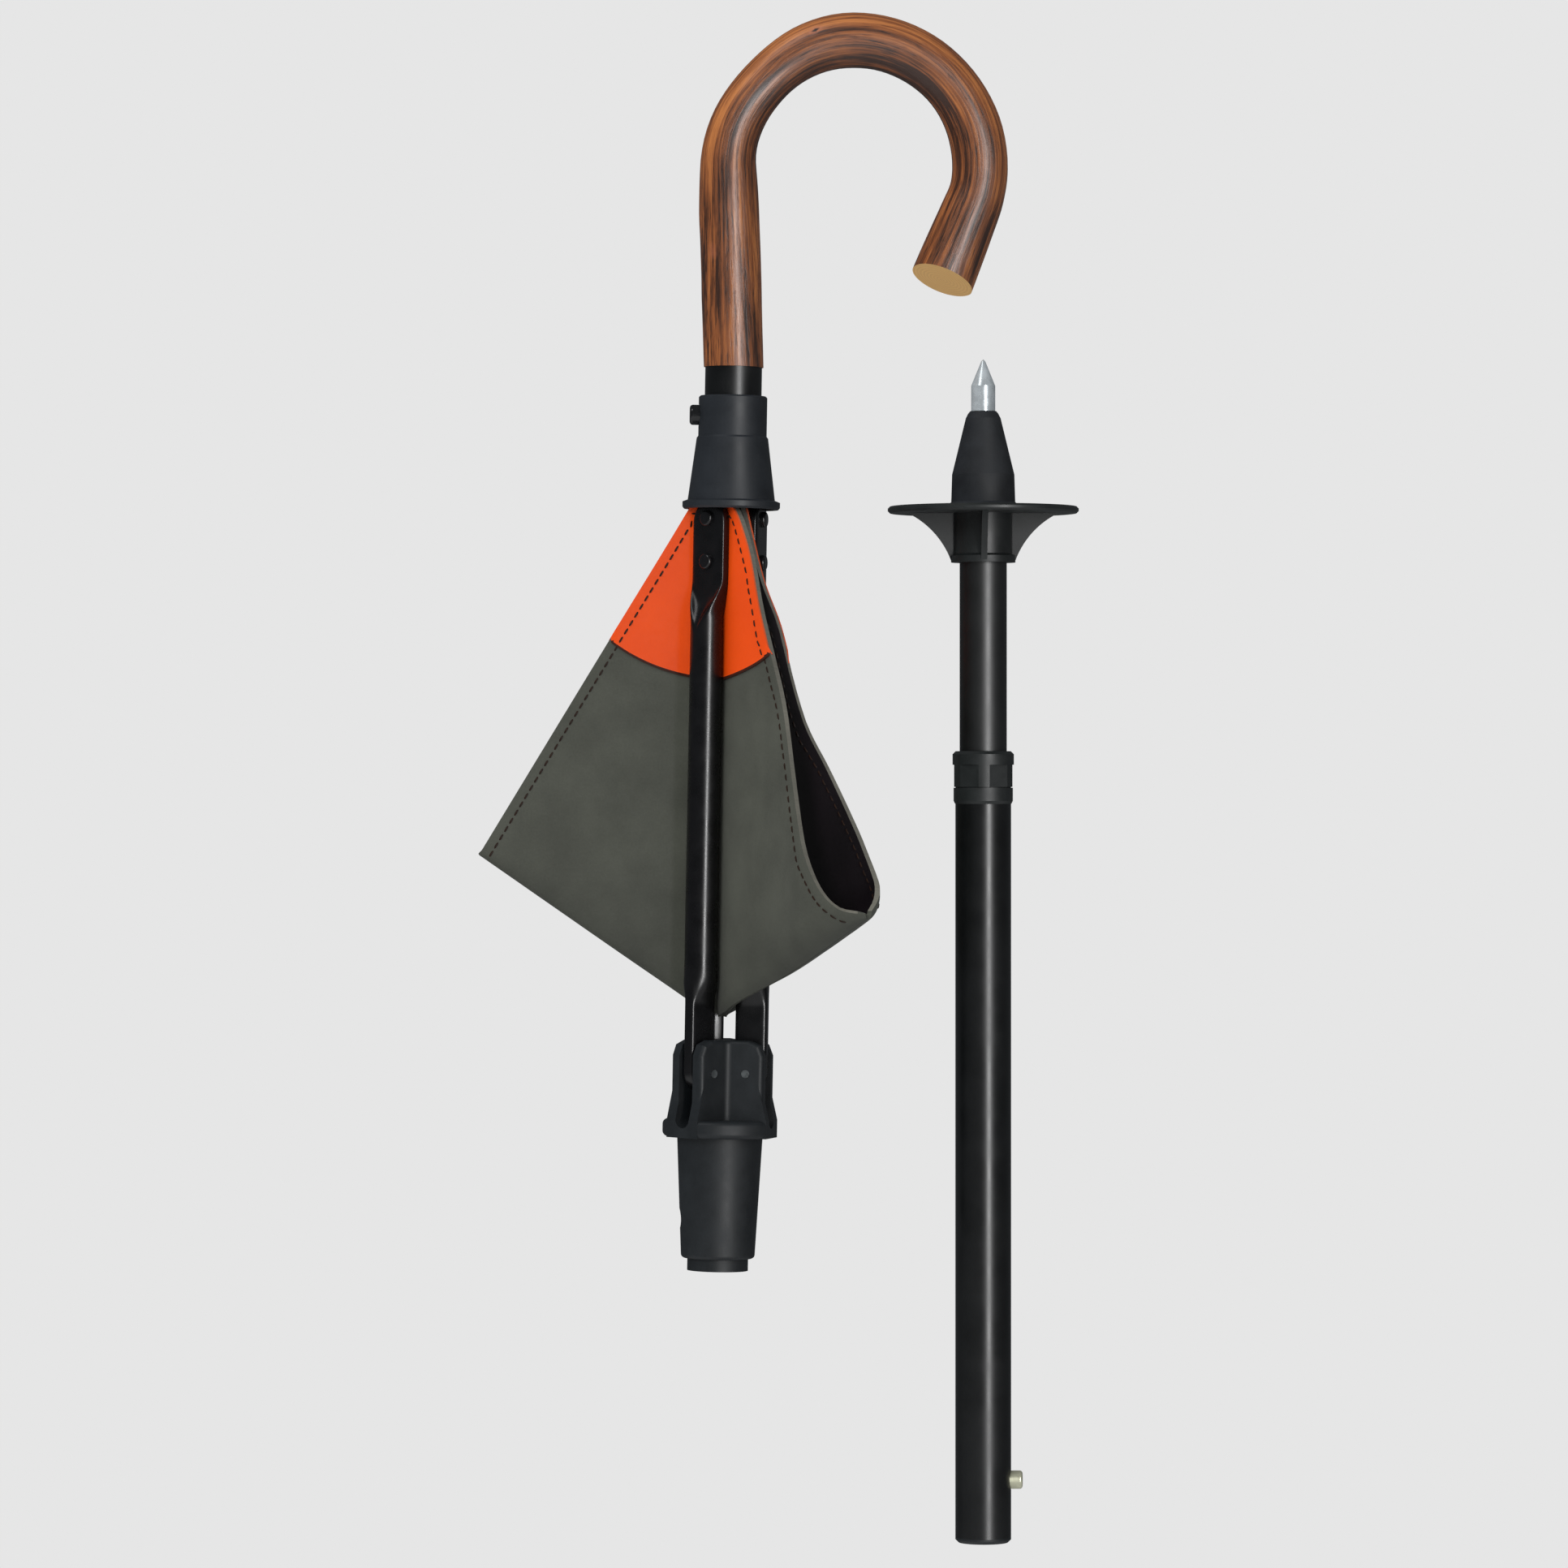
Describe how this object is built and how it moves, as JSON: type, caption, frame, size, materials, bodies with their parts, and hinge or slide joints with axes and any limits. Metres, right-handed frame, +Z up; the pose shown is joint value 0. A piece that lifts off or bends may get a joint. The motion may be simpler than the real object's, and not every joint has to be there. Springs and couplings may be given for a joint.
{
  "type": "shooting stick",
  "caption": "Take-apart walking stick seat with crook handle, folding arms, sling seat and a spiked telescopic leg, shown folded in its pieces.",
  "frame": {"origin": "centre of the leg socket's mouth, at the lower end of the hub", "axes": "+Z up the hub's axis towards the crook handle; +X towards the leg and the side that the crook bends to; -Y is the front, as in the picture"},
  "size_m": [0.2296, 0.1669, 0.6048],
  "materials": {
    "moulding": "fine matt moulded nylon",
    "arm_paint": "semi-gloss black powder coat",
    "leg_paint": "satin black anodised tube",
    "rivet": "black domed rivet",
    "wood": "flamed chestnut under varnish",
    "steel": "turned steel",
    "pin_steel": "dark steel pin end",
    "brass": "pale plated brass",
    "spring_steel": "strip spring steel",
    "rubber": "matt rubber",
    "canvas": "grey green woven canvas with bright corners and a dark lining"
  },
  "bodies": {
    "seat_hub": {"hub": "moulding", "arm_pins": "pin_steel", "socket_sleeve": "moulding", "socket_liner": "leg_paint", "seat_fold_left": "canvas", "seat_fold_right": "canvas", "seat_fold_back": "canvas"},
    "handle": {"top_bell": "moulding", "handle_tube": "leg_paint", "handle_crook": "wood", "handle_button_spring": "spring_steel"},
    "handle_snap": {"handle_button": "rivet"},
    "leg_lower": {"leg_inner_tube": "leg_paint", "lock_plug": "moulding", "ground_disc": "moulding", "foot_cone": "rubber", "spike": "steel"},
    "leg_upper": {"leg_outer_tube": "leg_paint", "leg_end_cap": "moulding", "lock_collar": "moulding", "leg_button_spring": "spring_steel"},
    "twist_ring": {"lock_ring": "moulding"},
    "leg_snap": {"leg_button": "brass"},
    "arm_right": {"arm_right": "arm_paint", "arm_rivets_right": "rivet"},
    "arm_back": {"arm_back": "arm_paint", "arm_rivets_back": "rivet"},
    "arm_front": {"arm_front": "arm_paint", "arm_rivets_front": "rivet"}
  },
  "joints": [
    {"name": "handle_pull", "type": "slide", "parent": "seat_hub", "child": "handle", "axis": [0, 0, 1], "range_m": [0, 0.4], "deforming": ["seat_fold_left", "seat_fold_right", "seat_fold_back"]},
    {"name": "arm_right_fold", "type": "hinge", "parent": "seat_hub", "child": "arm_right", "pos_m": [0.01188, -0.00318, 0.078], "axis": [0.2588, 0.9659, 0], "range_deg": [0, 52]},
    {"name": "arm_back_fold", "type": "hinge", "parent": "seat_hub", "child": "arm_back", "pos_m": [-0.00318, 0.01188, 0.078], "axis": [-0.9659, -0.2588, 0], "range_deg": [0, 52]},
    {"name": "arm_front_fold", "type": "hinge", "parent": "seat_hub", "child": "arm_front", "pos_m": [-0.0087, -0.0087, 0.078], "axis": [0.7071, -0.7071, 0], "range_deg": [0, 52]},
    {"name": "handle_button_press", "type": "slide", "parent": "handle", "child": "handle_snap", "axis": [1, 0, 0], "range_m": [0, 0.0034], "stiffness_N_per_m": 600, "deforming": ["handle_button_spring"]},
    {"name": "leg_turn", "type": "hinge", "parent": "seat_hub", "child": "leg_lower", "pos_m": [0.05293, 0, -0.05863], "axis": [0, 1, 0], "range_deg": [0, 181.03]},
    {"name": "leg_extend", "type": "slide", "parent": "leg_lower", "child": "leg_upper", "axis": [0.018, 0, -0.9998], "range_m": [-0.07, 0.056]},
    {"name": "lock_ring_twist", "type": "hinge", "parent": "leg_upper", "child": "twist_ring", "pos_m": [0.10122, 0, 0.19965], "axis": [-0.018, 0, 0.9998], "range_deg": [0, 90]},
    {"name": "leg_button_press", "type": "slide", "parent": "leg_upper", "child": "leg_snap", "axis": [-0.9998, 0, -0.018], "range_m": [0, 0.0044], "stiffness_N_per_m": 600, "deforming": ["leg_button_spring"]}
  ],
  "couplings": [
    {"joint": "arm_right_fold", "follows": "handle_pull", "rad_per_m": 2.2689},
    {"joint": "arm_back_fold", "follows": "handle_pull", "rad_per_m": 2.2689},
    {"joint": "arm_front_fold", "follows": "handle_pull", "rad_per_m": 2.2689}
  ]
}
